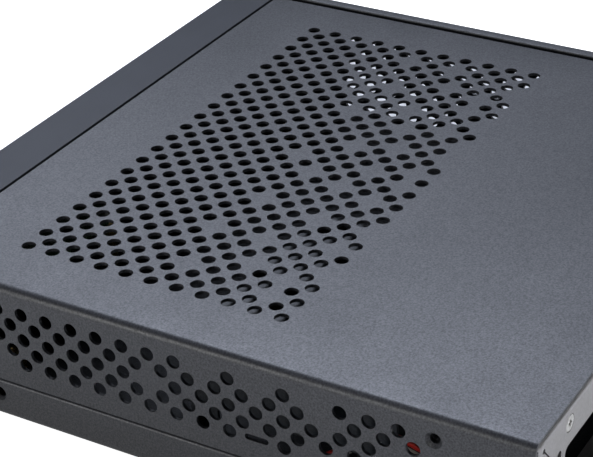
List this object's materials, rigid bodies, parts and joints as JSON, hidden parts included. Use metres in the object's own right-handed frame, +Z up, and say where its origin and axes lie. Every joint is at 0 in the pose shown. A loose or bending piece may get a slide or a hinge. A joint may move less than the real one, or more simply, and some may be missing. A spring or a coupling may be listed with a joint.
{
  "type": "thin mini-itx computer case",
  "caption": "Thin desktop computer case of folded sheet with vent fields in its top and sides, a bare rear panel with a port opening, and a plain moulded front with sockets and a button.",
  "frame": {"origin": "on the floor under the middle of the case", "axes": "+Z up, -Y out of the front bezel, +Y out of the rear panel, +X out of the side that the picture shows"},
  "size_m": [0.207, 0.202, 0.0463],
  "materials": {
    "dark_coat": "fine grained satin coat",
    "slate_coat": "smooth satin coat",
    "bare_steel": "plated sheet, soft satin",
    "zinc_steel": "zinc plated",
    "brass": "turned",
    "rubber": "matte",
    "bezel_plastic": "smooth satin moulding",
    "button_plastic": "smooth",
    "black_plastic": "moulded",
    "clear_plastic": "translucent moulding",
    "board_green": "lacquered laminate",
    "red_sleeve": "wire sleeve",
    "white_sleeve": "wire sleeve"
  },
  "bodies": {
    "case": {"top_cover": "dark_coat", "chassis_tray": "dark_coat", "rear_panel": "bare_steel", "tray_rivets": "zinc_steel", "cover_screws": "zinc_steel", "cover_nuts": "zinc_steel", "side_nuts": "zinc_steel", "board_standoffs": "brass", "drive_bracket": "slate_coat", "bracket_screws": "zinc_steel", "bracket_nuts": "zinc_steel", "rubber_feet": "rubber", "front_bezel": "bezel_plastic", "bezel_screws": "zinc_steel", "front_board": "board_green", "board_posts": "black_plastic", "board_screws": "zinc_steel", "usb_shells": "bare_steel", "usb_tongues": "black_plastic", "power_switch": "black_plastic", "light_pipe": "clear_plastic", "indicator_led": "clear_plastic", "lead_header": "black_plastic", "lead_socket": "black_plastic", "lead_plug": "black_plastic", "lead_red": "red_sleeve", "lead_white": "white_sleeve", "lead_clips": "black_plastic", "plug_clip": "black_plastic"},
    "button": {"power_button": "button_plastic", "switch_plunger": "black_plastic"}
  },
  "joints": [
    {"name": "power_button_press", "type": "slide", "parent": "case", "child": "button", "axis": [0, 1, 0], "range_m": [0, 0.0012], "stiffness_N_per_m": 600}
  ]
}
